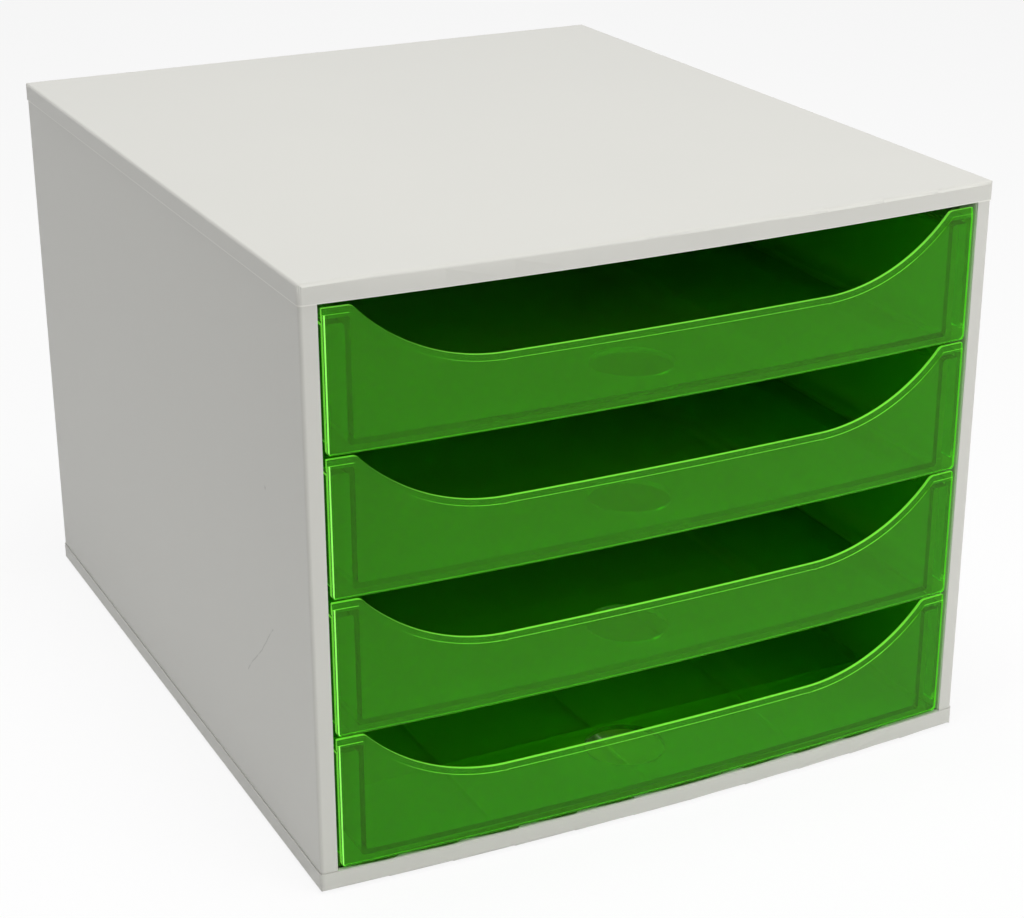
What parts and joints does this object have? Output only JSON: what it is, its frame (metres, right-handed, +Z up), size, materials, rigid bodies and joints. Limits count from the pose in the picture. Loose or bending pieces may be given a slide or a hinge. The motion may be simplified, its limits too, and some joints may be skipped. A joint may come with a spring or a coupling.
{
  "type": "desktop drawer set",
  "caption": "Free-standing desktop drawer set for A4 papers: light grey plastic casing with a bowed front and translucent green drawers with scooped fronts that slide out.",
  "frame": {"origin": "centre of the footprint, on the surface that the feet stand on", "axes": "+X to the right when facing the drawers, -Y out of the front, +Z up"},
  "size_m": [0.284, 0.336, 0.235],
  "materials": {
    "shell": "fine satin, light warm grey",
    "drawer": "clear gloss, translucent leaf green",
    "foot": "matt dark grey"
  },
  "bodies": {
    "casing": {"top_cover": "shell", "base_cover": "shell", "left_side_panel": "shell", "right_side_panel": "shell", "back_panel": "shell", "foot_front_left": "foot", "foot_front_right": "foot", "foot_rear_left": "foot", "foot_rear_right": "foot"},
    "drawer_1_body": {"drawer_1": "drawer"},
    "drawer_2_body": {"drawer_2": "drawer"},
    "drawer_3_body": {"drawer_3": "drawer"},
    "drawer_4_body": {"drawer_4": "drawer"}
  },
  "joints": [
    {"name": "drawer_1_slide", "type": "slide", "parent": "casing", "child": "drawer_1_body", "axis": [0, -1, 0], "range_m": [0, 0.26]},
    {"name": "drawer_2_slide", "type": "slide", "parent": "casing", "child": "drawer_2_body", "axis": [0, -1, 0], "range_m": [0, 0.26]},
    {"name": "drawer_3_slide", "type": "slide", "parent": "casing", "child": "drawer_3_body", "axis": [0, -1, 0], "range_m": [0, 0.26]},
    {"name": "drawer_4_slide", "type": "slide", "parent": "casing", "child": "drawer_4_body", "axis": [0, -1, 0], "range_m": [0, 0.26]}
  ]
}
